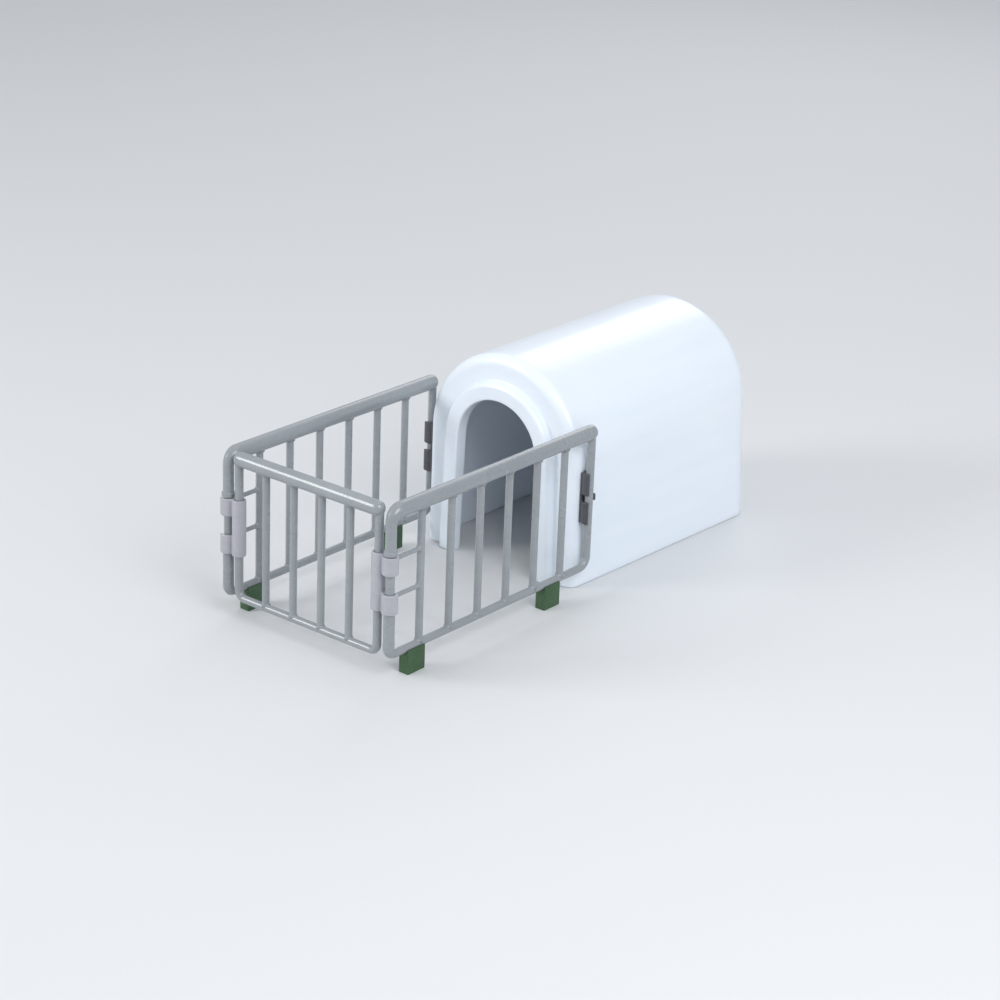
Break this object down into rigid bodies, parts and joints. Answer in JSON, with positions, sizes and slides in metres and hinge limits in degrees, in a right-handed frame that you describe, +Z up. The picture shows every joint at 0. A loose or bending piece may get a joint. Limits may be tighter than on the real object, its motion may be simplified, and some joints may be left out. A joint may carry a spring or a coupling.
{
  "type": "toy calf hutch with gated pen",
  "caption": "Moulded toy calf hutch: an open-bottomed vault with an arched doorway and a fenced pen whose side panels and front gate swing on clips.",
  "frame": {"origin": "on the ground, in the middle of the overall box", "axes": "+Z up, -Y the gate's end, +Y the hutch's rear wall, +X the right side panel, where the gate hinges"},
  "size_m": [0.0451, 0.1204, 0.0452],
  "materials": {
    "shell_plastic": "smooth moulded, glossy, pale blue-white",
    "rail_plastic": "satin moulded silver-grey",
    "clip_plastic": "satin moulded, slightly lighter grey",
    "wall_clip_plastic": "satin moulded dark grey",
    "foot_plastic": "matte moulded dark grey-green"
  },
  "bodies": {
    "hutch": {"hutch_shell": "shell_plastic", "right_wall_clip": "wall_clip_plastic", "left_wall_clip": "wall_clip_plastic"},
    "right_panel": {"right_side_panel": "rail_plastic", "right_hinge_clip": "clip_plastic", "right_front_foot": "foot_plastic", "right_rear_foot": "foot_plastic"},
    "left_panel": {"left_side_panel": "rail_plastic", "left_front_foot": "foot_plastic", "left_rear_foot": "foot_plastic"},
    "gate": {"gate_panel": "rail_plastic", "left_latch_clip": "clip_plastic"}
  },
  "joints": [
    {"name": "right_panel_swing", "type": "hinge", "parent": "hutch", "child": "right_panel", "pos_m": [0.021, 0.0014, 0.02], "axis": [0, 0, 1], "range_deg": [0, 165]},
    {"name": "left_panel_swing", "type": "hinge", "parent": "hutch", "child": "left_panel", "pos_m": [-0.021, 0.0014, 0.02], "axis": [0, 0, -1], "range_deg": [0, 165]},
    {"name": "gate_swing", "type": "hinge", "parent": "right_panel", "child": "gate", "pos_m": [0.0181, -0.0586, 0.02], "axis": [0, 0, 1], "range_deg": [0, 95]}
  ]
}
